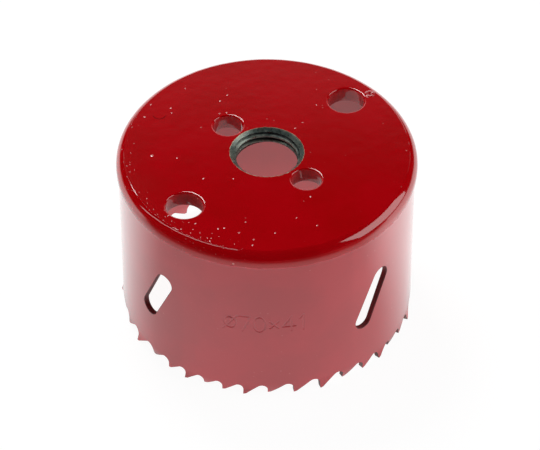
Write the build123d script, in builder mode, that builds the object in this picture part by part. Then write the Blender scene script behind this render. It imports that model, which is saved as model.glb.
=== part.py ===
"""Hole saw for metal and wood, 70 mm, standing on its teeth.

A steel end plate closes the top of a wall that is rolled from strip and butt-welded. The wall's
lower edge is milled into teeth of varying pitch, set one straight, one out and one in, and each
tooth has its own tip of high-speed steel. The plate is threaded for the arbor and has two holes
for the arbor's drive pins and two through which the cut slug is pushed out.

Millimetres. Z is the saw's axis, the tips of the teeth lie at z = 0 and the plate is on top.
Angles run anticlockwise seen from above, and the front of the saw faces -Y.
"""

from math import cos, degrees, pi, radians, sin, tan
import os

from build123d import *

# Driving dimensions: the whole saw
cutting_diameter = 70.0
overall_height = 44.6

# Driving dimensions: the end plate
plate_thickness = 3.9
plate_overhang = 0.45
shoulder_width = 1.9
shoulder_height = 2.8
thread_minor_diameter = 14.35
countersink_diameter = 17.2
ejector_hole_diameter = 8.6
ejector_hole_inset = 8.85
drive_pin_hole_diameter = 7.0
drive_pin_circle_diameter = 26.0
hole_edge_break = 0.3
ejector_angle = 44.3
drive_pin_angle = -45.7

# Driving dimensions: the strip that the wall is rolled from
wall_thickness = 1.3
seam_angle = 82.0
slot_length = 16.6
slot_width = 4.7
slot_lean = 26.0
slot_height = 21.25
slot_pitch = 55.6
seam_to_first_slot = 29.0
bead_height = 0.55

# Driving dimensions: the teeth
tooth_set = 0.5
tooth_pitch = 5.51
pitch_swing = 0.81
teeth_in_pitch_group = 9
first_tooth_in_group = 6
seam_to_first_tip = 3.45
tip_flat = 0.12
land_length = 0.7
land_angle = 15.0
back_angle = 37.0
gullet_fullness = 0.235
tip_edge_depth = 0.8
set_order = (0, 1, -1)

wall_radius = cutting_diameter / 2 - tooth_set
inner_radius = wall_radius - wall_thickness
plate_radius = wall_radius + plate_overhang
ejector_circle_radius = plate_radius - ejector_hole_inset
plate_underside = overall_height - plate_thickness
strip_length = 2 * pi * wall_radius
cutter_reach = cutting_diameter


def strip_angle(distance):
    """Angle around the saw of a place on the strip, measured from the seam along its outer face."""
    return seam_angle + degrees(distance / wall_radius)


def wall_plane(distance):
    """Plane through the axis that faces out at a place on the strip: x along the strip, y up."""
    turn = radians(strip_angle(distance))
    return Plane(origin=(0, 0, 0), x_dir=(-sin(turn), cos(turn), 0), z_dir=(cos(turn), sin(turn), 0))


def section_plane(distance):
    """Plane that cuts the wall across at a place on the strip: x outwards, y up."""
    turn = radians(strip_angle(distance))
    return Plane(origin=(0, 0, 0), x_dir=(cos(turn), sin(turn), 0), z_dir=(sin(turn), -cos(turn), 0))


# The teeth are spaced in groups in which the pitch swells and shrinks, to keep the saw from
# chattering. The strip is cut to the wall's length wherever a tooth ends, so the gullet at the
# seam takes up what is left of the last pitch.
tooth_count = int(strip_length // tooth_pitch)
tip_places = [seam_to_first_tip]
for step in range(tooth_count - 1):
    turn_in_group = 2 * pi * (step + first_tooth_in_group) / teeth_in_pitch_group
    tip_places.append(tip_places[-1] + tooth_pitch + pitch_swing * cos(turn_in_group))
tip_places.append(tip_places[0] + strip_length)
land_rise = (land_length - tip_flat) * tan(radians(land_angle))


def gullet_size(number):
    """Length along the strip, corner height and corner radius of the gullet after a tooth."""
    length = tip_places[number % tooth_count + 1] - tip_places[number % tooth_count]
    height = land_rise + (length - land_length) * tan(radians(back_angle))
    return length, height, gullet_fullness * length


def gullet_roof(number):
    """Height of the highest point of the gullet that follows a tooth."""
    length, height, radius = gullet_size(number)
    slope = radians(back_angle)
    return height - radius * tan(slope) - radius / cos(slope) + radius


highest_roof = max(gullet_roof(number) for number in range(tooth_count))
toothed_height = highest_roof + wall_thickness


def cut_gullet(number):
    """Cut the gullet after a tooth: a short land rises gently from the tip and the back steeply
    from there to a round corner, which drops to the upright face of the next tooth."""
    length, height, radius = gullet_size(number)
    with BuildSketch(wall_plane(tip_places[number % tooth_count] + length / 2)) as gullet:
        with BuildLine():
            Polyline(
                (tip_flat - length / 2, 0),
                (land_length - length / 2, land_rise),
                (length / 2, height),
                (length / 2, -wall_thickness),
                (tip_flat - length / 2, -wall_thickness),
                close=True,
            )
        make_face()
        fillet(vertices().sort_by(Axis.Y)[-1], radius)
    extrude(gullet.sketch, amount=cutter_reach, mode=Mode.SUBTRACT)


def tooth(number):
    """One tooth with the wall above it, from gullet to gullet, leaning by its set below its root."""
    set_over = tooth_set * set_order[number % len(set_order)]
    start = tip_places[number] - gullet_size(number - 1)[2]
    end = tip_places[number + 1] - gullet_size(number)[2]
    root = min(gullet_roof(number - 1), gullet_roof(number))
    with BuildPart() as blank:
        with BuildSketch(section_plane(start)):
            with BuildLine():
                Polyline(
                    (inner_radius, toothed_height),
                    (wall_radius, toothed_height),
                    (wall_radius, root),
                    (wall_radius + set_over, 0),
                    (inner_radius + set_over, 0),
                    (inner_radius, root),
                    close=True,
                )
            make_face()
        revolve(axis=Axis.Z, revolution_arc=strip_angle(end) - strip_angle(start))
        cut_gullet(number - 1)
        cut_gullet(number)
    return blank.part


# End plate: a turned disc with a rounded shoulder, drilled and tapped
with BuildPart() as end_plate:
    with BuildSketch(Plane.XZ):
        with BuildLine():
            Polyline(
                (plate_radius, overall_height - shoulder_height),
                (plate_radius, plate_underside),
                (0, plate_underside),
                (0, overall_height),
                (plate_radius - shoulder_width, overall_height),
            )
            TangentArc(
                (plate_radius, overall_height - shoulder_height),
                (plate_radius - shoulder_width, overall_height),
                tangent=(0, 1),
            )
        make_face()
    revolve(axis=Axis.Z)
    with Locations(Plane.XY.offset(overall_height)):
        with PolarLocations(ejector_circle_radius, 2, start_angle=ejector_angle):
            Hole(ejector_hole_diameter / 2, depth=plate_thickness)
        with PolarLocations(drive_pin_circle_diameter / 2, 2, start_angle=drive_pin_angle):
            Hole(drive_pin_hole_diameter / 2, depth=plate_thickness)
    top_edges = end_plate.edges().filter_by(GeomType.CIRCLE).group_by(Axis.Z)[-1]
    chamfer(top_edges.filter_by(lambda edge: edge.radius < plate_radius / 2), hole_edge_break)
    with Locations(Plane.XY.offset(overall_height)):
        Hole(thread_minor_diameter / 2, depth=plate_thickness)
    top_edges = end_plate.edges().filter_by(GeomType.CIRCLE).group_by(Axis.Z)[-1]
    bore_edge = top_edges.filter_by(lambda edge: abs(edge.radius - thread_minor_diameter / 2) < 0.01)
    chamfer(bore_edge, (countersink_diameter - thread_minor_diameter) / 2)

# Saw wall: strip rolled to a ring, with slanted slots for clearing chips, and teeth milled below
tooth_blanks = [tooth(number) for number in range(tooth_count)]
tip_joint = Plane.XY.offset(tip_edge_depth)
tooth_roots = [split(blank, bisect_by=tip_joint, keep=Keep.TOP) for blank in tooth_blanks]

with BuildPart() as saw_wall:
    with BuildSketch(Plane.XY.offset(toothed_height)):
        Circle(wall_radius)
        Circle(inner_radius, mode=Mode.SUBTRACT)
    extrude(amount=plate_underside - toothed_height)
    slot_count = int((strip_length - seam_to_first_slot - slot_length / 2) // slot_pitch) + 1
    for count in range(slot_count):
        with BuildSketch(wall_plane(seam_to_first_slot + slot_pitch * count)):
            with Locations((0, slot_height)):
                SlotOverall(slot_length, slot_width, rotation=90 - slot_lean)
        extrude(amount=cutter_reach, mode=Mode.SUBTRACT)
    add(tooth_roots)

# Weld bead: runs round under the lip where the plate overhangs the wall
with BuildPart() as weld_bead:
    with BuildSketch(Plane.XZ):
        with BuildLine():
            Polyline(
                (wall_radius, plate_underside - bead_height),
                (wall_radius, plate_underside),
                (plate_radius, plate_underside),
                close=True,
            )
        make_face()
    revolve(axis=Axis.Z)

os.makedirs("parts", exist_ok=True)
for name, piece in (("end_plate", end_plate), ("saw_wall", saw_wall), ("weld_bead", weld_bead)):
    piece.part.label = name
    export_step(piece.part, f"parts/{name}.step")

for number, blank in enumerate(tooth_blanks, start=1):
    with BuildPart() as tooth_tip:
        add(blank)
        split(bisect_by=tip_joint, keep=Keep.BOTTOM)
    tooth_tip.part.label = f"tooth_tip_{number:02d}"
    export_step(tooth_tip.part, f"parts/tooth_tip_{number:02d}.step")
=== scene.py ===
"""The looks of a 70 mm hole saw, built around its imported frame.

Metres, in the frame's own axes: the teeth stand on z = 0 and the front of the saw faces -Y.
Angles run anticlockwise seen from above, from the X axis.
"""

from math import asin, cos, hypot, pi, radians, sin, tan

import bpy
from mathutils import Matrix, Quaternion, Vector, noise
from mathutils.geometry import delaunay_2d_cdt


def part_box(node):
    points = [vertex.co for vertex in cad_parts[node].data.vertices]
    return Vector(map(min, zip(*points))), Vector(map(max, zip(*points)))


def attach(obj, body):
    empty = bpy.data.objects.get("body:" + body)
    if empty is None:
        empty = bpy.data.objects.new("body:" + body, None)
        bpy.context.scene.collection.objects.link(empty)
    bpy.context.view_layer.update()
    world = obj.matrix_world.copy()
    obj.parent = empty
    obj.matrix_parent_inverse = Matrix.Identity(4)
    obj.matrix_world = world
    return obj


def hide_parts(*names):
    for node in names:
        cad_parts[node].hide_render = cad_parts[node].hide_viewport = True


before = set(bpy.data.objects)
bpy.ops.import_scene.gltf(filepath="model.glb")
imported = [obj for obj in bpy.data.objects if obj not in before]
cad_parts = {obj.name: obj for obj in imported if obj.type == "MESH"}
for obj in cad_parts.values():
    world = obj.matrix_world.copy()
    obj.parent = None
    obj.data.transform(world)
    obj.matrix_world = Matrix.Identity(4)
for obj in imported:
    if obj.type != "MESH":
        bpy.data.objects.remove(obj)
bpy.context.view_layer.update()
mm = 0.001


# End plate. A turned steel disc with a rounded shoulder, drilled and tapped, that closes the top
# of the wall and overhangs it by a lip. It is sprayed with glossy red enamel after welding; the
# tapped bore was plugged for that, so its thread and countersink are bare, oily steel.
plate_low, plate_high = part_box("end_plate")
plate_radius = min(plate_high[0], plate_high[1])
plate_top = plate_high[2]
plate_underside = plate_low[2]
shoulder_width = 1.9 * mm
shoulder_height = 2.8 * mm
shoulder_edge_round = 0.02 * mm
lip_round = 0.22 * mm
hole_round = 0.38 * mm
ejector_hole_radius = 4.3 * mm
ejector_circle_radius = 26.1 * mm
ejector_angle = radians(44.3)
drive_pin_hole_radius = 3.5 * mm
drive_pin_circle_radius = 13.0 * mm
drive_pin_angle = radians(-45.7)
countersink_radius = 8.6 * mm
thread_minor_radius = 7.175 * mm
thread_major_radius = 7.94 * mm
thread_pitch = 25.4 / 18 * mm
thread_start_angle = radians(294)

# Places of the finishes in a piece's list of materials
painted = 0
bare = 1


def inside(outline, place):
    """Whether a place lies inside a closed outline."""
    within = False
    for (x0, y0), (x1, y1) in zip(outline, outline[1:] + outline[:1]):
        if (y0 > place[1]) != (y1 > place[1]):
            if place[0] < x0 + (place[1] - y0) * (x1 - x0) / (y1 - y0):
                within = not within
    return within


class Skin:
    """The points and faces of one piece while it is made."""

    def __init__(self):
        self.points = []
        self.faces = []
        self.finishes = []
        self.facings = []

    def ring(self, points):
        """Add points in order and return their numbers."""
        first = len(self.points)
        self.points.extend(Vector(point) for point in points)
        return list(range(first, len(self.points)))

    def face(self, corners, finish=painted, facing=None):
        """Add one face; facing fixes its normals, one for all corners or one for each."""
        self.faces.append(tuple(corners))
        self.finishes.append(finish)
        self.facings.append(facing)

    def band(self, upper, lower, finish=painted):
        """Join two closed rings of equally many points, facing out if both run anticlockwise."""
        for here in range(len(upper)):
            after = (here + 1) % len(upper)
            self.face((lower[here], lower[after], upper[after], upper[here]), finish)

    def level(self, rings, up):
        """Close the level area inside the first ring and outside the others."""
        numbers = [number for ring in rings for number in ring]
        loops = [[self.points[number].xy / mm for number in ring] for ring in rings]
        places = [place for loop in loops for place in loop]
        edges = []
        first = 0
        for ring in rings:
            edges += [(first + here, first + (here + 1) % len(ring)) for here in range(len(ring))]
            first += len(ring)
        spots, _, triangles, sources, _, _ = delaunay_2d_cdt(places, edges, [], 0, 1e-7)
        for triangle in triangles:
            middle = sum((spots[corner] for corner in triangle), Vector((0, 0))) / 3
            if inside(loops[0], middle) and not any(inside(loop, middle) for loop in loops[1:]):
                corners = [numbers[sources[corner][0]] for corner in triangle]
                facing = Vector((0, 0, 1 if up else -1))
                self.face(corners if up else corners[::-1], painted, facing)

    def build(self, name, materials, sharp_angle=40):
        """Make the object, smooth but for edges sharper than sharp_angle."""
        mesh = bpy.data.meshes.new(name)
        mesh.from_pydata(self.points, [], self.faces)
        for material in materials:
            mesh.materials.append(material)
        mesh.polygons.foreach_set("material_index", self.finishes)
        mesh.polygons.foreach_set("use_smooth", [True] * len(self.faces))
        mesh.set_sharp_from_angle(angle=radians(sharp_angle))
        if any(facing is not None for facing in self.facings):
            normals = []
            for face, facing in zip(self.faces, self.facings):
                if facing is None:
                    normals += [Vector((0, 0, 0))] * len(face)
                elif isinstance(facing, Vector):
                    normals += [facing] * len(face)
                else:
                    normals += facing
            mesh.normals_split_custom_set(normals)
        mesh.update()
        piece = bpy.data.objects.new(name, mesh)
        bpy.context.scene.collection.objects.link(piece)
        return piece


def turns(count):
    """Evenly spaced angles once round."""
    return [2 * pi * step / count for step in range(count)]


def circle(radius, height, count, centre=(0, 0)):
    """Points of a level circle, anticlockwise."""
    return [
        (centre[0] + radius * cos(angle), centre[1] + radius * sin(angle), height)
        for angle in turns(count)
    ]


def waver(angle, seed, scale=6.0):
    """A smooth irregular number from -1 to 1 that changes round the saw and closes on itself."""
    return noise.noise(Vector((scale * cos(angle), scale * sin(angle), seed)))


plate = Skin()

# The edge between the flat and the shoulder was broken by hand on a belt, so it wanders a little.
rim_count = 480
round_steps = 5
shoulder_steps = 14
lip_steps = 4
shoulder_radius = (shoulder_width**2 + shoulder_height**2) / (2 * shoulder_width)
shoulder_start = asin((shoulder_radius - shoulder_width) / shoulder_radius)


def edge_wander(angle):
    """How far the edge of the flat strays outwards at an angle."""
    return (0.10 * waver(angle, 1.0, 2.0) + 0.05 * waver(angle, 2.0, 9.0)) * mm


def shoulder_ring(out, down, share):
    """Ring of the shoulder that carries a share of the edge's wander."""
    points = []
    for angle in turns(rim_count):
        radius = plate_radius - shoulder_width + out + share * edge_wander(angle)
        points.append((radius * cos(angle), radius * sin(angle), plate_top - down))
    return plate.ring(points)


edge_setback = shoulder_edge_round * tan(shoulder_start / 2)
shoulder_rings = []
for step in range(round_steps + 1):
    lean = shoulder_start * step / round_steps
    out = -edge_setback + shoulder_edge_round * sin(lean)
    down = shoulder_edge_round * (1 - cos(lean))
    shoulder_rings.append(shoulder_ring(out, down, 1.0))
first_lean = shoulder_start + edge_setback / shoulder_radius
for step in range(shoulder_steps + 1):
    lean = first_lean + (pi / 2 - first_lean) * step / shoulder_steps
    out = shoulder_radius * sin(lean) - (shoulder_radius - shoulder_width)
    down = shoulder_height - shoulder_radius * cos(lean)
    shoulder_rings.append(shoulder_ring(out, down, 1 - (step + 1) / (shoulder_steps + 1)))
for step in range(lip_steps + 1):
    lean = pi / 2 * step / lip_steps
    out = shoulder_width - lip_round * (1 - cos(lean))
    down = plate_top - plate_underside - lip_round * (1 - sin(lean))
    shoulder_rings.append(shoulder_ring(out, down, 0.0))
for upper, lower in zip(shoulder_rings, shoulder_rings[1:]):
    plate.band(upper, lower)

# The four drilled holes
plain_holes = []
for half in (0, pi):
    plain_holes.append((ejector_hole_radius, ejector_circle_radius, ejector_angle + half))
    plain_holes.append((drive_pin_hole_radius, drive_pin_circle_radius, drive_pin_angle + half))

top_rings = [shoulder_rings[0]]
underside_rings = [shoulder_rings[-1]]
hole_count = 96
hole_round_steps = 6
drill_burr = 0.1 * mm
for radius, circle_radius, angle in plain_holes:
    centre = (circle_radius * cos(angle), circle_radius * sin(angle))
    hole_rings = []
    for step in range(hole_round_steps + 1):
        lean = pi / 2 * step / hole_round_steps
        wide = radius + hole_round * (1 - sin(lean))
        deep = hole_round * (1 - cos(lean))
        hole_rings.append(plate.ring(circle(wide, plate_top - deep, hole_count, centre)))
    for share in (0.3, 0.6, 0.9):
        height = plate_top - hole_round + share * (plate_underside - plate_top + hole_round)
        hole_rings.append(plate.ring(circle(radius, height, hole_count, centre)))
    hole_rings.append(plate.ring(circle(radius + drill_burr, plate_underside, hole_count, centre)))
    for upper, lower in zip(hole_rings, hole_rings[1:]):
        plate.band(lower, upper)
    top_rings.append(hole_rings[0])
    underside_rings.append(hole_rings[-1])

# The tapped bore: each ring follows the wider of countersink and helical groove.
bore_count = 180
bore_step = 0.045 * mm
least_bared = 0.02


def groove_radius(angle, height):
    """Radius of the sixty-degree thread at a place on the bore."""
    turn = (height / thread_pitch - (angle - thread_start_angle) / (2 * pi)) % 1
    from_groove = abs(turn - 0.5) * 2
    share = min(max((from_groove - 0.125) / 0.625, 0), 1)
    return thread_major_radius + share * (thread_minor_radius - thread_major_radius)


def bore_radius(angle, height):
    """Radius of the countersink and thread at a place on the bore, with burrs left by the tap."""
    countersink = countersink_radius - (plate_top - height)
    burr = 0.02 * mm * noise.noise(Vector((9 * cos(angle), 9 * sin(angle), height / mm * 3)))
    return max(countersink, groove_radius(angle, height)) + burr


rim_points = []
for angle in turns(bore_count):
    bared = 0.06 + 0.09 * waver(angle, 4.0, 9.0) + 0.05 * waver(angle, 8.0, 30.0)
    radius = countersink_radius + max(bared, least_bared) * mm
    rim_points.append((radius * cos(angle), radius * sin(angle), plate_top))
bore_rows = int((plate_top - plate_underside) / bore_step)
bore_rings = [plate.ring(rim_points)]
for row in range(bore_rows + 1):
    height = plate_top - (plate_top - plate_underside) * row / bore_rows
    points = []
    for angle in turns(bore_count):
        radius = bore_radius(angle, height)
        points.append((radius * cos(angle), radius * sin(angle), height))
    bore_rings.append(plate.ring(points))
for upper, lower in zip(bore_rings, bore_rings[1:]):
    plate.band(lower, upper, bare)
top_rings.append(bore_rings[0])
underside_rings.append(bore_rings[-1])
plate.level(top_rings, up=True)
plate.level(underside_rings, up=False)


def node_group(name, inputs, outputs):
    """A group of nodes with named number inputs and outputs, its inputs' sockets and its end."""
    group = bpy.data.node_groups.new(name, "ShaderNodeTree")
    for socket in inputs:
        group.interface.new_socket(socket, in_out="INPUT", socket_type="NodeSocketFloat")
    for socket in outputs:
        group.interface.new_socket(socket, in_out="OUTPUT", socket_type="NodeSocketFloat")
    return group, group.nodes.new("NodeGroupInput").outputs, group.nodes.new("NodeGroupOutput")


def add_node(tree, kind, settings=None, links=None):
    """Add a node; settings are its properties, links its sockets' values or what feeds them."""
    node = tree.nodes.new(kind)
    for name, value in (settings or {}).items():
        setattr(node, name, value)
    for socket, value in (links or {}).items():
        if isinstance(value, bpy.types.NodeSocket):
            tree.links.new(value, node.inputs[socket])
        else:
            node.inputs[socket].default_value = value
    return node


def combine(tree, operation, first, second=0.0):
    """Output of a node that combines two numbers."""
    links = {0: first, 1: second}
    return add_node(tree, "ShaderNodeMath", {"operation": operation}, links).outputs[0]


def spread(tree, value, low, high, to_low=0.0, to_high=1.0):
    """Output of a map range node that runs smoothly from one range to another."""
    links = {"Value": value, "From Min": low, "From Max": high, "To Min": to_low, "To Max": to_high}
    settings = {"interpolation_type": "SMOOTHSTEP"}
    return add_node(tree, "ShaderNodeMapRange", settings, links).outputs["Result"]


def speckle(tree, place, scale, kept, size):
    """Mask of small round dots: one in each Voronoi cell whose random number is under kept."""
    links = {"Vector": place, "Scale": scale, "Randomness": 1.0}
    cells = add_node(tree, "ShaderNodeTexVoronoi", {}, links)
    random = add_node(tree, "ShaderNodeSeparateColor", {}, {0: cells.outputs["Color"]}).outputs[0]
    chosen = combine(tree, "LESS_THAN", random, kept)
    dot = spread(tree, cells.outputs["Distance"], size, size * 0.35)
    return combine(tree, "MULTIPLY", chosen, dot)


def cloudy(tree, place, scale, detail, roughness=0.5):
    """Output of a noise texture."""
    links = {"Vector": place, "Scale": scale, "Detail": detail, "Roughness": roughness}
    return add_node(tree, "ShaderNodeTexNoise", {}, links).outputs["Fac"]


def distance(tree, place, centre):
    """Output of the distance from a place to a fixed centre."""
    settings = {"operation": "DISTANCE"}
    return add_node(tree, "ShaderNodeVectorMath", settings, {0: place, 1: centre}).outputs["Value"]


# Sprayed enamel: clouding of the colour, dust nibs under the film, and the film's orange peel.
enamel_film, film_in, film_out = node_group(
    "enamel_film",
    ("Cloud Scale", "Peel Scale", "Peel Relief", "Nib Relief"),
    ("Clouding", "Nibs", "Relief", "Scar"),
)
film_place = add_node(enamel_film, "ShaderNodeTexCoord").outputs["Object"]
clouds = cloudy(enamel_film, film_place, film_in["Cloud Scale"], 4.0, 0.6)
peel = cloudy(enamel_film, film_place, film_in["Peel Scale"], 2.0)
patches = cloudy(enamel_film, film_place, 90.0, 1.0)
patch_mask = spread(enamel_film, patches, 0.42, 0.62)
small_nibs = speckle(enamel_film, film_place, 620.0, 0.28, 0.15)
large_nibs = speckle(enamel_film, film_place, 260.0, 0.12, 0.10)
small_nibs = combine(enamel_film, "MULTIPLY", small_nibs, patch_mask)
nibs = combine(enamel_film, "MAXIMUM", small_nibs, large_nibs)

# Overspray settled on the flat along its left and front edge, where a chip was also painted over
# and a hair left a short curved mark.
dusty_side = (-0.84, -0.54, 0.0)
edge_start = 28.5 * mm
edge_full = 32.5 * mm
chip_place = (24.3 * mm, 20.5 * mm, plate_top)
chip_relief = 8.0
hair_place = (-25.2 * mm, 12.9 * mm, plate_top)
hair_radius = 1.4 * mm
toward = add_node(
    enamel_film,
    "ShaderNodeVectorMath",
    {"operation": "DOT_PRODUCT"},
    {0: film_place, 1: dusty_side},
).outputs["Value"]
from_middle = distance(enamel_film, film_place, (0.0, 0.0, plate_top))
by_edge = combine(
    enamel_film,
    "MULTIPLY",
    spread(enamel_film, toward, 16 * mm, 30 * mm),
    spread(enamel_film, from_middle, edge_start, edge_full),
)
edge_nibs = speckle(enamel_film, film_place, 1200.0, 0.5, 0.17)
edge_nibs = combine(enamel_film, "MULTIPLY", edge_nibs, by_edge)
edge_nibs = combine(enamel_film, "MULTIPLY", edge_nibs, 0.6)
nibs = combine(enamel_film, "MAXIMUM", nibs, edge_nibs)
from_chip = distance(enamel_film, film_place, chip_place)
chip = combine(
    enamel_film,
    "MULTIPLY",
    spread(enamel_film, from_chip, 0.4 * mm, 0.8 * mm),
    spread(enamel_film, from_chip, 1.3 * mm, 0.9 * mm),
)
from_hair = distance(enamel_film, film_place, hair_place)
off_line = combine(enamel_film, "SUBTRACT", from_hair, hair_radius)
off_line = combine(enamel_film, "ABSOLUTE", off_line)
backwards = add_node(enamel_film, "ShaderNodeSeparateXYZ", {}, {0: film_place}).outputs["Y"]
scar = combine(
    enamel_film,
    "MULTIPLY",
    spread(enamel_film, off_line, 0.20 * mm, 0.05 * mm),
    spread(enamel_film, backwards, 12.9 * mm, 12.3 * mm),
)
peel = combine(enamel_film, "MULTIPLY", peel, film_in["Peel Relief"])
raised = combine(enamel_film, "MULTIPLY", nibs, film_in["Nib Relief"])
relief = combine(enamel_film, "ADD", peel, raised)
relief = combine(enamel_film, "ADD", relief, combine(enamel_film, "MULTIPLY", chip, chip_relief))
scar = combine(enamel_film, "MAXIMUM", scar, spread(enamel_film, from_chip, 0.35 * mm, 0.15 * mm))
enamel_film.links.new(clouds, film_out.inputs["Clouding"])
enamel_film.links.new(nibs, film_out.inputs["Nibs"])
enamel_film.links.new(relief, film_out.inputs["Relief"])
enamel_film.links.new(scar, film_out.inputs["Scar"])


def blend(tree, factor, first, second):
    """Colour output that mixes two colours."""
    node = add_node(tree, "ShaderNodeMix", {"data_type": "RGBA"})
    for number, value in ((0, factor), (6, first), (7, second)):
        if isinstance(value, bpy.types.NodeSocket):
            tree.links.new(value, node.inputs[number])
        else:
            node.inputs[number].default_value = value
    return node.outputs[2]


def new_material(name):
    """A material with its tree and its shader."""
    material = bpy.data.materials.new(name)
    material.use_nodes = True
    tree = material.node_tree
    return material, tree, tree.nodes["Principled BSDF"]


scar_colour = (0.10, 0.001, 0.003, 1)


def enamel(name, thin, thick, nib, gloss, peel_depth, film_values, shader_values=None):
    """Red enamel: thin and thick are the film's colours, nib that of the dust nibs under it; a nib
    colour lighter than the film paints in the nibs' glints, a painted highlight.
    """
    material, tree, shader = new_material(name)
    film = add_node(tree, "ShaderNodeGroup", {"node_tree": enamel_film}, film_values).outputs
    cloud = spread(tree, film["Clouding"], 0.35, 0.65)
    colour = blend(tree, cloud, thin, thick)
    # Painted highlight: light nib colours stand in for the glints on the dust nibs.
    colour = blend(tree, combine(tree, "MULTIPLY", film["Nibs"], 0.7), colour, nib)
    colour = blend(tree, combine(tree, "MULTIPLY", film["Scar"], 0.7), colour, scar_colour)
    tree.links.new(colour, shader.inputs["Base Color"])
    rough = spread(tree, film["Clouding"], 0.3, 0.7, gloss, 1.4 * gloss)
    tree.links.new(rough, shader.inputs["Roughness"])
    bump = add_node(tree, "ShaderNodeBump", {}, {"Height": film["Relief"], "Distance": peel_depth})
    tree.links.new(bump.outputs["Normal"], shader.inputs["Normal"])
    shader.inputs["IOR"].default_value = 1.95
    for socket, value in (shader_values or {}).items():
        shader.inputs[socket].default_value = value
    return material


plate_enamel = enamel(
    "plate_enamel",
    thin=(0.54, 0.001, 0.005, 1),
    thick=(0.48, 0.001, 0.003, 1),
    nib=(0.85, 0.36, 0.33, 1),
    gloss=0.045,
    peel_depth=0.028 * mm,
    film_values={"Cloud Scale": 55.0, "Peel Scale": 420.0, "Peel Relief": 0.35, "Nib Relief": 1.2},
)

# Bare steel under a film of cutting oil: mottled grey-green, with fine turning marks, and the
# thread's grooves darkened almost to black as painted shade.
oily_steel_film, oily_in, oily_out = node_group(
    "oily_steel_film",
    ("Mottle Scale", "Stain Scale"),
    ("Mottle", "Stain", "Marks", "Groove Shade", "Rim"),
)
steel_place = add_node(oily_steel_film, "ShaderNodeTexCoord").outputs["Object"]
mottle = cloudy(oily_steel_film, steel_place, oily_in["Mottle Scale"], 3.0)
stain = cloudy(oily_steel_film, steel_place, oily_in["Stain Scale"], 2.0)
mark_stretch = (300.0, 300.0, 9000.0)
stretch = add_node(
    oily_steel_film, "ShaderNodeMapping", {}, {"Vector": steel_place, "Scale": mark_stretch}
)
marks = cloudy(oily_steel_film, stretch.outputs[0], 1.0, 1.0)
level = add_node(
    oily_steel_film,
    "ShaderNodeVectorMath",
    {"operation": "MULTIPLY"},
    {0: steel_place, 1: (1.0, 1.0, 0.0)},
)
outwards = add_node(
    oily_steel_film, "ShaderNodeVectorMath", {"operation": "LENGTH"}, {0: level.outputs[0]}
).outputs["Value"]
upwards = add_node(oily_steel_film, "ShaderNodeSeparateXYZ", {}, {0: steel_place}).outputs["Z"]
cone = countersink_radius - plate_top
beyond_cone = combine(oily_steel_film, "SUBTRACT", outwards, upwards)
beyond_cone = spread(oily_steel_film, beyond_cone, cone + 0.05 * mm, cone + 0.30 * mm)
groove_start = thread_minor_radius + 0.05 * mm
groove_floor = thread_major_radius - 0.25 * mm
groove = spread(oily_steel_film, outwards, groove_start, groove_floor)
groove = combine(oily_steel_film, "MULTIPLY", groove, beyond_cone)
rim = spread(oily_steel_film, outwards, countersink_radius - 0.25 * mm, countersink_radius)
steel_outputs = {"Mottle": mottle, "Stain": stain, "Marks": marks, "Groove Shade": groove, "Rim": rim}
for socket, value in steel_outputs.items():
    oily_steel_film.links.new(value, oily_out.inputs[socket])


def oily_steel(name, mottle_scale, stain_scale, mark_depth, rough, metallic):
    """Bare steel: its material, its tree, the film's outputs and the shader it feeds."""
    material, tree, shader = new_material(name)
    scales = {"Mottle Scale": mottle_scale, "Stain Scale": stain_scale}
    film = add_node(tree, "ShaderNodeGroup", {"node_tree": oily_steel_film}, scales).outputs
    tree.links.new(spread(tree, film["Mottle"], 0.3, 0.7, *rough), shader.inputs["Roughness"])
    bump = add_node(tree, "ShaderNodeBump", {}, {"Height": film["Marks"], "Distance": mark_depth})
    tree.links.new(bump.outputs["Normal"], shader.inputs["Normal"])
    shader.inputs["Metallic"].default_value = metallic
    return material, tree, film, shader


dark_steel = (0.17, 0.22, 0.20, 1)
light_steel = (0.23, 0.26, 0.22, 1)
worn_steel = (0.55, 0.56, 0.48, 1)
rim_steel = (0.42, 0.37, 0.25, 1)
painted_groove_shade = (0.015, 0.016, 0.02, 1)
thread_steel, tree, film, shader = oily_steel(
    "thread_steel",
    mottle_scale=900.0,
    stain_scale=240.0,
    mark_depth=0.02 * mm,
    rough=(0.22, 0.45),
    metallic=0.7,
)
colour = blend(tree, spread(tree, film["Stain"], 0.4, 0.6), dark_steel, light_steel)
colour = blend(tree, spread(tree, film["Mottle"], 0.55, 0.75, 0.0, 0.6), colour, worn_steel)
colour = blend(tree, combine(tree, "MULTIPLY", film["Rim"], 0.6), colour, rim_steel)
# Painted shade: the thread's grooves are darkened in the colour, for the shadow in them.
colour = blend(tree, combine(tree, "MULTIPLY", film["Groove Shade"], 0.93), colour, painted_groove_shade)
tree.links.new(colour, shader.inputs["Base Color"])

plate_piece = plate.build("plate_disc", [plate_enamel, thread_steel])
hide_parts("end_plate")
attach(plate_piece, "root")


# Saw wall. Steel strip, punched with four slanted chip slots, milled along one edge into teeth of
# varying pitch, rolled to a ring and butt-welded at the back. Its teeth are set straight, out and
# in by turns. It is sprayed with the same enamel, but the milled faces of the teeth stay bare.
wall_radius = 34.5 * mm
wall_thickness = 1.3 * mm
seam_angle = radians(82.0)
strip_length = 2 * pi * wall_radius
tooth_pitch = 5.51 * mm
pitch_swing = 0.81 * mm
teeth_in_pitch_group = 9
first_tooth_in_group = 6
seam_to_first_tip = 3.45 * mm
tip_flat = 0.12 * mm
land_length = 0.7 * mm
land_angle = radians(15.0)
back_angle = radians(37.0)
gullet_fullness = 0.235
tip_joint_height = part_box("tooth_tip_01")[1][2]
tooth_set = 0.5 * mm
set_order = (0, 1, -1)
rake_shares = (1, 0.75, 0.5, 0.25, 0)
corner_steps = 18
slot_length = 16.6 * mm
slot_width = 4.7 * mm
slot_lean = radians(26.0)
slot_height = 21.25 * mm
slot_pitch = 55.6 * mm
seam_to_first_slot = 29.0 * mm
slot_edge_round = 0.14 * mm

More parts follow.
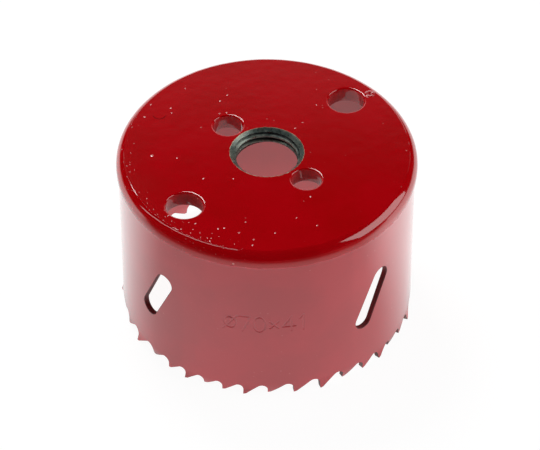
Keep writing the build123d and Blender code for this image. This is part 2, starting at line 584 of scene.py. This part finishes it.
tooth_count = int(strip_length // tooth_pitch)
tip_places = [seam_to_first_tip]
for step in range(tooth_count - 1):
    turn_in_group = 2 * pi * (step + first_tooth_in_group) / teeth_in_pitch_group
    tip_places.append(tip_places[-1] + tooth_pitch + pitch_swing * cos(turn_in_group))
tip_places.append(tip_places[0] + strip_length)


def gullet_curve(number):
    """Outline of the gullet after a tooth, from its tip to the next one, with the place and the
    height of its roof. A short land rises gently from the tip and the back steeply from there to
    a round corner, which drops to the upright face of the next tooth."""
    tip = tip_places[number]
    length = tip_places[number + 1] - tip
    radius = gullet_fullness * length
    land_rise = (land_length - tip_flat) * tan(land_angle)
    middle = length - radius
    line = land_rise + (middle - land_length) * tan(back_angle)
    middle_height = line - radius / cos(back_angle)
    joint = land_length + (tip_joint_height - land_rise) / tan(back_angle)
    back_end = middle - radius * sin(back_angle)
    curve = [
        (0, 0),
        (tip_flat, 0),
        ((tip_flat + land_length) / 2, land_rise / 2),
        (land_length, land_rise),
    ]
    for share in (0.25, 0.5, 0.75, 1):
        along = land_length + share * (joint - land_length)
        curve.append((along, land_rise + share * (tip_joint_height - land_rise)))
    for step in range(1, 4):
        along = joint + (back_end - joint) * step / 4
        curve.append((along, tip_joint_height + (along - joint) * tan(back_angle)))
    for step in range(corner_steps + 1):
        lean = (pi / 2 + back_angle) * (1 - step / corner_steps)
        curve.append((middle + radius * cos(lean), middle_height + radius * sin(lean)))
    for share in rake_shares:
        curve.append((length, tip_joint_height * share))
    placed = [(tip + along, height) for along, height in curve]
    return placed, tip + middle, middle_height + radius


gullets = [gullet_curve(number) for number in range(tooth_count)]


def shifted(gullet, distance):
    """A gullet moved along the strip."""
    curve, middle, roof = gullet
    return [(along + distance, height) for along, height in curve], middle + distance, roof


def tooth_lean(along, height):
    """How far a tooth is set outwards at a place on the strip."""
    for number in range(tooth_count):
        before = gullets[number - 1] if number else shifted(gullets[-1], -strip_length)
        after = gullets[number]
        if before[1] <= along < after[1]:
            root = min(before[2], after[2])
            bend = max(root - height, 0) / root
            set_over = tooth_set * set_order[number % len(set_order)]
            return set_over * bend * (0.25 + 0.75 * bend)
    return 0.0


def wrap(along):
    """The same place on the strip, counted from the first gullet's side of the seam."""
    first = gullets[-1][1] - strip_length
    return (along - first) % strip_length + first


def stadium(along, grow, count=44):
    """Outline of a slanted slot around a place on the strip, grown by a margin."""
    radius = slot_width / 2
    half = slot_length / 2 - radius
    outline = []
    for step in range(count):
        lean = 2 * pi * step / count
        side = half if step < count / 2 else -half
        x = (radius + grow) * cos(lean)
        y = (radius + grow) * sin(lean) + side
        outline.append((
            along + x * cos(slot_lean) + y * sin(slot_lean),
            slot_height - x * sin(slot_lean) + y * cos(slot_lean),
        ))
    return outline


# A plain size mark, stamped in thin strokes: the diameter sign and two lengths in millimetres.
mark_height = 4.6 * mm
mark_middle_height = 22.6 * mm
mark_spacing = 3.4 * mm
mark_depth = 0.13 * mm
stroke_half_width = 0.26 * mm
front = (radians(270) - seam_angle) * wall_radius


def oval(wide, high, count=20):
    """Strokes of an upright oval one unit high."""
    points = [(wide * cos(angle), high * sin(angle)) for angle in turns(count)]
    return list(zip(points, points[1:] + points[:1]))


mark_strokes = {
    "diameter": oval(0.30, 0.36) + [((-0.36, -0.50), (0.36, 0.50))],
    "7": [((-0.28, 0.50), (0.30, 0.50)), ((0.30, 0.50), (-0.10, -0.50))],
    "0": oval(0.29, 0.50),
    "times": [((-0.22, -0.26), (0.22, 0.20)), ((-0.22, 0.20), (0.22, -0.26))],
    "4": [
        ((0.12, -0.50), (0.12, 0.50)),
        ((0.12, 0.50), (-0.32, -0.18)),
        ((-0.32, -0.18), (0.32, -0.18)),
    ],
    "1": [((0.0, -0.50), (0.0, 0.50)), ((0.0, 0.50), (-0.20, 0.30))],
}
stamped = []
mark = ("diameter", "7", "0", "times", "4", "1")
for place, sign in enumerate(mark):
    middle = front + (place - (len(mark) - 1) / 2) * mark_spacing
    for first, last in mark_strokes[sign]:
        stamped.append(tuple(
            Vector((middle + x * mark_height, mark_middle_height + y * mark_height))
            for x, y in (first, last)
        ))
mark_reach = (len(mark) / 2) * mark_spacing


far_from_mark = 1.0


def stamp_distance(along, height):
    """Distance from a place to the nearest stroke of the mark."""
    if abs(along - front) > mark_reach or abs(height - mark_middle_height) > mark_height:
        return far_from_mark
    place = Vector((along, height))
    nearest = far_from_mark
    for first, last in stamped:
        line = last - first
        share = min(max((place - first).dot(line) / line.length_squared, 0), 1)
        nearest = min(nearest, (first + line * share - place).length)
    return nearest


def stamp_depth(along, height):
    """Depth of the stamped mark, less where the punch bit less."""
    distance = stamp_distance(along, height)
    if distance > 2 * stroke_half_width:
        return 0.0
    share = distance / stroke_half_width
    bite = 0.75 + 0.35 * noise.noise(Vector((along / mm * 0.35, height / mm * 0.35, 3.0)))
    burr = -0.18 * max(0.0, 1 - abs(share - 1.35) / 0.5)
    return mark_depth * bite * (max(0.0, 1 - share**2) + burr)


weld_half_width = 1.6 * mm
weld_depth = 0.035 * mm


def seam_weld(along, height):
    """Height of what grinding left of the butt weld, which lies a little below the wall."""
    from_seam = abs((along + strip_length / 2) % strip_length - strip_length / 2)
    if from_seam > weld_half_width:
        return 0.0
    ripple = 0.6 + 0.4 * noise.noise(Vector((from_seam / mm, height / mm * 1.2, 7.0)))
    return -weld_depth * ripple * (1 - (from_seam / weld_half_width) ** 2)


def wall_point(along, height, depth):
    """A place on the wall: depth 0 is its outer face and 1 its inner face."""
    along_once = wrap(along)
    radius = wall_radius - wall_thickness * depth + tooth_lean(along_once, height)
    if depth == 0:
        radius += seam_weld(along_once, height) - stamp_depth(along_once, height)
    angle = seam_angle + along / wall_radius
    return Vector((radius * cos(angle), radius * sin(angle), height))


def wall_facing(along, height, depth):
    """Normal of the wall's outer or inner face at a place."""
    nudge = 0.02 * mm
    sideways = wall_point(along + nudge, height, depth) - wall_point(along - nudge, height, depth)
    upwards = wall_point(along, height + nudge, depth) - wall_point(along, height - nudge, depth)
    normal = sideways.cross(upwards).normalized()
    return normal if depth == 0 else -normal


def wall_face(skin, outline, openings, extra, depth):
    """One face of the wall within an outline, clear of openings, through extra inner points.
    Returns the numbers of the outline's points and of each opening's."""
    loops = [outline] + openings
    flat = [Vector(place) / mm for loop in loops for place in loop]
    flat += [Vector(place) / mm for place in extra]
    edges = []
    first = 0
    for loop in loops:
        edges += [(first + here, first + (here + 1) % len(loop)) for here in range(len(loop))]
        first += len(loop)
    spots, _, triangles, sources, _, _ = delaunay_2d_cdt(flat, edges, [], 0, 1e-6)
    numbers = skin.ring(wall_point(spot.x * mm, spot.y * mm, depth) for spot in spots)
    facings = [wall_facing(spot.x * mm, spot.y * mm, depth) for spot in spots]
    for triangle in triangles:
        middle = sum((spots[corner] for corner in triangle), Vector((0, 0))) / 3 * mm
        if not inside(outline, middle) or any(inside(opening, middle) for opening in openings):
            continue
        corners = list(triangle) if depth == 0 else list(triangle)[::-1]
        facing = [facings[corner] for corner in corners]
        skin.face([numbers[corner] for corner in corners], painted, facing)
    place_of = {}
    for spot, source in enumerate(sources):
        for given in source:
            place_of[given] = numbers[spot]
    found = []
    first = 0
    for loop in loops:
        found.append([place_of[first + here] for here in range(len(loop))])
        first += len(loop)
    return found


wall_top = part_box("saw_wall")[1][2]

# The strip is laid out from the middle of the seam's gullet, where no tooth is cut through.
above_joint = [
    [place for place in curve if place[1] > tip_joint_height - 1e-9] for curve, _, _ in gullets
]
seam_middle, seam_roof = gullets[-1][1:]
lay_start = seam_middle - strip_length
lower_edge = [(lay_start, seam_roof)]
lower_edge += [(x - strip_length, y) for x, y in above_joint[-1] if x > seam_middle + 1e-7]
for curve in above_joint[:-1]:
    lower_edge += curve
lower_edge += [(x, y) for x, y in above_joint[-1] if x < seam_middle - 1e-7]
lower_edge += [(seam_middle, seam_roof)]
side_count = 22
side_rise = wall_top - seam_roof
side_heights = [seam_roof + side_rise * step / side_count for step in range(1, side_count)]
top_count = 240
outline = list(lower_edge)
outline += [(lay_start + strip_length, height) for height in side_heights]
outline += [
    (lay_start + strip_length * (1 - step / top_count), wall_top) for step in range(top_count + 1)
]
outline += [(lay_start, height) for height in reversed(side_heights)]

slot_count = 4
slot_places = [seam_to_first_slot + slot_pitch * count for count in range(slot_count)]


above_teeth = 6 * mm


def clear_of_edges(along, height, margin):
    """Whether a place on the wall is at least a margin away from slots and gullets."""
    for place in slot_places:
        across = (along - place) * cos(slot_lean) - (height - slot_height) * sin(slot_lean)
        length = (along - place) * sin(slot_lean) + (height - slot_height) * cos(slot_lean)
        reach = max(abs(length) - slot_length / 2 + slot_width / 2, 0)
        if hypot(across, reach) < slot_width / 2 + margin:
            return False
    if height > above_teeth:
        return True
    for curve, _, _ in gullets:
        for shift in (0, -strip_length):
            if not curve[0][0] - 1 * mm < along - shift < curve[-1][0] + 1 * mm:
                continue
            for x, y in curve:
                if hypot(along - shift - x, height - y) < margin:
                    return False
            if inside(curve, (along - shift, height)):
                return False
    return height > tip_joint_height + margin * 0.5


# Points inside the wall: close rows over the teeth, wide ones above, and fine ones for the mark
# and the seam.
grid = []
grid_columns = 216
edge_clearance = 0.35 * mm
mark_clearance = 0.8 * mm
heights = [tip_joint_height + 0.55 * mm * step for step in range(1, 8)]
while heights[-1] < wall_top - 2 * mm:
    heights.append(heights[-1] + 1.5 * mm)
for row, height in enumerate(heights):
    for column in range(grid_columns):
        along = lay_start + strip_length * (column + 0.25 + 0.5 * (row % 2)) / grid_columns
        if stamp_distance(along, height) > mark_clearance:
            if clear_of_edges(along, height, edge_clearance):
                grid.append((along, height))
fine = 0.13 * mm
for row in range(int(2 * mark_height / fine)):
    for column in range(int(2 * mark_reach / fine)):
        along = front - mark_reach + fine * (column + 0.5 * (row % 2))
        height = mark_middle_height - mark_height + fine * row
        if stamp_distance(along, height) < 2.2 * stroke_half_width:
            grid.append((along, height))
for row in range(int((wall_top - 4 * mm) / mm)):
    for column in range(-6, 7):
        grid.append((0.27 * mm * column + 0.01 * mm, 4 * mm + row * mm + 0.3 * mm))

wall = Skin()
wide_slots = [stadium(place, slot_edge_round) for place in slot_places]
outer_loops = wall_face(wall, outline, wide_slots, grid, 0)
inner_grid = [
    (along, height)
    for along, height in grid
    if stamp_distance(along, height) > mark_clearance and abs(along) > 2 * mm
]
inner_loops = wall_face(wall, outline, wide_slots, inner_grid, 1)


def close_edge(skin, outer, inner, start, stop, finish):
    """Join the outer and inner faces along a stretch of their outlines."""
    for here in range(start, stop):
        after = (here + 1) % len(outer)
        skin.face((outer[after], outer[here], inner[here], inner[after]), finish)


close_edge(wall, outer_loops[0], inner_loops[0], 0, len(lower_edge) - 1, bare)
top_first = len(lower_edge) + len(side_heights)
close_edge(wall, outer_loops[0], inner_loops[0], top_first, top_first + top_count, painted)

# The slots' edges are rounded by the punch on the outside and by the paint.
slot_painted = 2
outside_steps = 4
inside_steps = 4
for place, outer_slot, inner_slot in zip(slot_places, outer_loops[1:], inner_loops[1:]):
    rows = [outer_slot]
    for step in range(1, outside_steps + 1):
        lean = pi / 2 * step / outside_steps
        grow = slot_edge_round * (1 - sin(lean))
        deep = slot_edge_round * (1 - cos(lean)) / wall_thickness
        rows.append(wall.ring(wall_point(x, y, max(deep, 1e-6)) for x, y in stadium(place, grow)))
    for deep in (0.5, 1 - slot_edge_round / wall_thickness):
        rows.append(wall.ring(wall_point(x, y, deep) for x, y in stadium(place, 0)))
    for step in range(1, inside_steps):
        lean = pi / 2 * step / inside_steps
        grow = slot_edge_round * (1 - cos(lean))
        deep = 1 - slot_edge_round * (1 - sin(lean)) / wall_thickness
        rows.append(wall.ring(wall_point(x, y, deep) for x, y in stadium(place, grow)))
    rows.append(inner_slot)
    for outer_row, inner_row in zip(rows, rows[1:]):
        for here in range(len(outer_row)):
            after = (here + 1) % len(outer_row)
            corners = (outer_row[here], outer_row[after], inner_row[after], inner_row[here])
            wall.face(corners, slot_painted)

# Painted light: the wall's copy of the plate's enamel is lighter, for the brighter wall.
lightened_wall_enamel = enamel(
    "lightened_wall_enamel",
    thin=(0.65, 0.003, 0.018, 1),
    thick=(0.58, 0.002, 0.014, 1),
    nib=(0.70, 0.12, 0.12, 1),
    gloss=0.10,
    peel_depth=0.006 * mm,
    film_values={"Cloud Scale": 55.0, "Peel Scale": 420.0, "Peel Relief": 0.35, "Nib Relief": 1.2},
    shader_values={"IOR": 1.6, "Coat Weight": 1.0, "Coat Roughness": 0.35, "Coat IOR": 1.9},
)
# The paint runs thick on the cut sides of the slots, and their enamel is darkened as painted
# shade for the shadow inside the slots.
shaded_slot_enamel = enamel(
    "shaded_slot_enamel",
    thin=(0.42, 0.003, 0.010, 1),
    thick=(0.16, 0.001, 0.004, 1),
    nib=(0.10, 0.001, 0.002, 1),
    gloss=0.45,
    peel_depth=0.03 * mm,
    film_values={"Cloud Scale": 55.0, "Peel Scale": 420.0, "Peel Relief": 0.35, "Nib Relief": 1.2},
)

dark_milled = (0.19, 0.10, 0.10, 1)
light_milled = (0.30, 0.19, 0.18, 1)
milled_steel, tree, film, shader = oily_steel(
    "milled_steel",
    mottle_scale=900.0,
    stain_scale=240.0,
    mark_depth=0.015 * mm,
    rough=(0.32, 0.5),
    metallic=0.5,
)
colour = blend(tree, spread(tree, film["Stain"], 0.4, 0.6), dark_milled, light_milled)
tree.links.new(colour, shader.inputs["Base Color"])

wall_piece = wall.build("wall_strip", [lightened_wall_enamel, milled_steel, shaded_slot_enamel])
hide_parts("saw_wall")
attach(wall_piece, "root")


# Tooth tips. Each tooth ends in its own tip of high-speed steel, welded on as wire before the
# teeth were milled. The outside is painted and the milled faces are bare.
for number in range(tooth_count):
    before = gullets[number - 1] if number else shifted(gullets[-1], -strip_length)
    rake = before[0][-len(rake_shares):-1]
    below_joint = [place for place in gullets[number][0] if place[1] < tip_joint_height + 1e-9]
    back = below_joint[:-len(rake_shares)]
    tip_outline = rake + back
    first, last = rake[0][0], back[-1][0]
    joint = [(first + (last - first) * step / 6, tip_joint_height) for step in (5, 4, 3, 2, 1)]
    inner_points = [
        (first + 0.2 * mm + 0.3 * mm * column, 0.27 * mm * row)
        for row in (1, 2)
        for column in range(2 + 2 * row)
        if inside(tip_outline + joint, (first + 0.35 * mm + 0.3 * mm * column, 0.27 * mm * row))
    ]
    tip = Skin()
    outer = wall_face(tip, tip_outline + joint, [], inner_points, 0)[0]
    inner = wall_face(tip, tip_outline + joint, [], inner_points, 1)[0]
    close_edge(tip, outer, inner, 0, len(outer), bare)
    tip_piece = tip.build(f"tip_{number + 1:02d}", [lightened_wall_enamel, milled_steel])
    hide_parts(f"tooth_tip_{number + 1:02d}")
    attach(tip_piece, "root")


# Weld bead. A thin fillet run by hand under the lip, where the plate overhangs the wall; it was
# sprayed with the rest, and its ripples catch the light. Its enamel is lighter than the wall's, a
# painted highlight along the bead.
bead_height = 0.55 * mm
bead_count = 900
bead = Skin()
bead_rows = 8
bead_bulge = 0.8
bead_overhang = plate_radius - 0.04 * mm - wall_radius
bead_rings = []
for row in range(bead_rows):
    points = []
    for angle in turns(bead_count):
        lean = pi / 2 * row / (bead_rows - 1)
        ripple = 0.75 + 0.20 * waver(angle, 5.0, 30.0) + 0.12 * waver(angle, 6.0, 8.0)
        radius = wall_radius + bead_overhang * sin(lean) ** bead_bulge * min(ripple + 0.1, 1.0)
        drop = bead_height * cos(lean) ** bead_bulge * min(ripple + 0.15, 1.0)
        height = plate_underside - drop
        points.append((radius * cos(angle), radius * sin(angle), height))
    bead_rings.append(bead.ring(points))
for lower, upper in zip(bead_rings, bead_rings[1:]):
    bead.band(upper, lower)
back_ring = bead.ring(circle(wall_radius, plate_underside, bead_count))
bead.band(bead_rings[0], back_ring)
bead.band(back_ring, bead_rings[-1])

# Painted highlight: this copy of the enamel is lighter and pinker than the wall's.
lit_bead_enamel = enamel(
    "lit_bead_enamel",
    thin=(0.76, 0.06, 0.08, 1),
    thick=(0.66, 0.02, 0.03, 1),
    nib=(0.80, 0.25, 0.25, 1),
    gloss=0.10,
    peel_depth=0.02 * mm,
    film_values={"Cloud Scale": 55.0, "Peel Scale": 420.0, "Peel Relief": 0.35, "Nib Relief": 1.2},
)
bead_piece = bead.build("lip_bead", [lit_bead_enamel])
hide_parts("weld_bead")
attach(bead_piece, "root")


# Floor, light and camera. A floor that stays white to the camera and pale in reflections, a
# softbox behind and above, a wide one on the right, a narrow strip on the left, and the
# photograph's long lens.
floor_reach = 3.0
floor_drop = 0.02 * mm
floor_white = 0.94
foot_start = 33 * mm
foot_end = 36 * mm
floor_mesh = bpy.data.meshes.new("floor")
floor_corners = [
    (-floor_reach, -floor_reach, 0),
    (floor_reach, -floor_reach, 0),
    (floor_reach, floor_reach, 0),
    (-floor_reach, floor_reach, 0),
]
floor_mesh.from_pydata(floor_corners, [], [(0, 1, 2, 3)])
floor_piece = bpy.data.objects.new("floor", floor_mesh)
bpy.context.scene.collection.objects.link(floor_piece)
floor_piece.location.z = -floor_drop

floor_paper = bpy.data.materials.new("floor_paper")
floor_paper.use_nodes = True
tree = floor_paper.node_tree
tree.nodes.clear()
rays = add_node(tree, "ShaderNodeLightPath").outputs
seen = combine(tree, "MAXIMUM", rays["Is Camera Ray"], rays["Is Transmission Ray"])
place = add_node(tree, "ShaderNodeTexCoord").outputs["Object"]
settings = {"operation": "LENGTH"}
from_saw = add_node(tree, "ShaderNodeVectorMath", settings, {0: place}).outputs["Value"]
across = add_node(tree, "ShaderNodeSeparateXYZ", {}, {0: place}).outputs
depth = combine(tree, "ADD", across["Y"], spread(tree, across["X"], 0.04, 0.09, 0.0, 0.025))
beside = spread(tree, from_saw, foot_start, foot_end, 0.25, 1.0)
behind = combine(tree, "MULTIPLY", spread(tree, depth, -0.055, 0.020, 0.0, 1.2), beside)
near = combine(tree, "MAXIMUM", behind, spread(tree, from_saw, 0.045, 0.16, 0.50, 0.0))
mirrored = combine(tree, "MULTIPLY", rays["Is Glossy Ray"], near)
bounce = spread(tree, from_saw, foot_start, foot_end, 1.6, 0.92)
glow = combine(tree, "MULTIPLY", rays["Is Diffuse Ray"], bounce)
glow = combine(tree, "MAXIMUM", glow, combine(tree, "MAXIMUM", seen, mirrored))
glow = combine(tree, "MULTIPLY", glow, floor_white)
paper = add_node(tree, "ShaderNodeBsdfDiffuse", {}, {"Color": (0.12, 0.12, 0.12, 1)})
light = add_node(tree, "ShaderNodeEmission", {}, {"Color": (1, 1, 1, 1), "Strength": glow})
mixed = add_node(tree, "ShaderNodeAddShader", {}, {0: paper.outputs[0], 1: light.outputs[0]})
surface = add_node(tree, "ShaderNodeOutputMaterial")
tree.links.new(mixed.outputs[0], surface.inputs["Surface"])
floor_mesh.materials.append(floor_paper)


aim_height = 30 * mm


def softbox(name, around, up, away, width, height, power, roll=0.0):
    """An area light that faces the saw, at an angle round it from the front and an angle up.
    It is turned about its own beam by roll."""
    data = bpy.data.lights.new(name, "AREA")
    data.shape = "RECTANGLE"
    data.size = width
    data.size_y = height
    data.energy = power
    lamp = bpy.data.objects.new(name, data)
    bpy.context.scene.collection.objects.link(lamp)
    direction = Vector((sin(around) * cos(up), -cos(around) * cos(up), sin(up)))
    lamp.location = direction * away + Vector((0, 0, aim_height))
    turned = direction.to_track_quat("Z", "Y") @ Quaternion((0, 0, 1), roll)
    lamp.rotation_euler = turned.to_euler()


softbox(
    "back_softbox",
    around=radians(206),
    up=radians(57),
    away=0.45,
    width=0.16,
    height=0.19,
    power=0.95,
)
softbox(
    "right_softbox",
    around=radians(87),
    up=radians(27),
    away=0.8,
    width=0.72,
    height=0.56,
    power=2.1,
)
softbox(
    "left_strip",
    around=radians(-89.5),
    up=radians(55),
    away=0.8,
    width=0.055,
    height=0.78,
    power=0.33,
    roll=radians(-27),
)

world = bpy.data.worlds.new("studio")
bpy.context.scene.world = world
world.use_nodes = True
tree = world.node_tree
tree.nodes.clear()
rays = add_node(tree, "ShaderNodeLightPath").outputs
seen = combine(tree, "MAXIMUM", rays["Is Camera Ray"], rays["Is Transmission Ray"])
direction = add_node(tree, "ShaderNodeTexCoord").outputs["Generated"]
direction = add_node(tree, "ShaderNodeSeparateXYZ", {}, {0: direction}).outputs
aside = combine(tree, "ABSOLUTE", direction["X"])
right = spread(tree, direction["X"], 0.35, 0.80, 0.0, 1.7)
left = spread(tree, direction["X"], -0.35, -0.80, 0.0, 2.4)
rear = spread(tree, direction["Y"], -0.3, 0.3, 0.0, 0.32)
fill = combine(tree, "MAXIMUM", combine(tree, "MAXIMUM", right, left), rear)
fill = combine(tree, "MULTIPLY", fill, spread(tree, direction["Z"], 0.55, 0.15))
fill = combine(tree, "MULTIPLY", fill, rays["Is Diffuse Ray"])
horizon = spread(tree, direction["Z"], 0.14, -0.10, 0.0, 0.8)
horizon = combine(tree, "MULTIPLY", horizon, spread(tree, direction["Y"], -0.15, 0.15))
backdrop = spread(tree, direction["Z"], 0.68, 0.50)
backdrop = combine(tree, "MULTIPLY", backdrop, spread(tree, aside, 0.50, 0.30))
backdrop = combine(tree, "MULTIPLY", backdrop, spread(tree, direction["Y"], 0.2, 0.5))
mirrored = combine(tree, "MAXIMUM", horizon, backdrop)
mirrored = combine(tree, "MULTIPLY", rays["Is Glossy Ray"], mirrored)
strength = combine(tree, "MAXIMUM", seen, combine(tree, "MAXIMUM", fill, mirrored))
links = {"Color": (1, 1, 1, 1), "Strength": strength}
background = add_node(tree, "ShaderNodeBackground", {}, links)
surface = add_node(tree, "ShaderNodeOutputWorld")
tree.links.new(background.outputs[0], surface.inputs["Surface"])

bpy.context.scene.view_settings.view_transform = "Standard"
camera_data = bpy.data.cameras.new("camera")
camera_data.lens = 204.5
camera_data.sensor_width = 36.0
camera = bpy.data.objects.new("camera", camera_data)
camera.location = (0.72 * mm, -528.9 * mm, 517.0 * mm)
camera.rotation_euler = (radians(46.862), 0, 0)
bpy.context.scene.collection.objects.link(camera)
bpy.context.scene.camera = camera
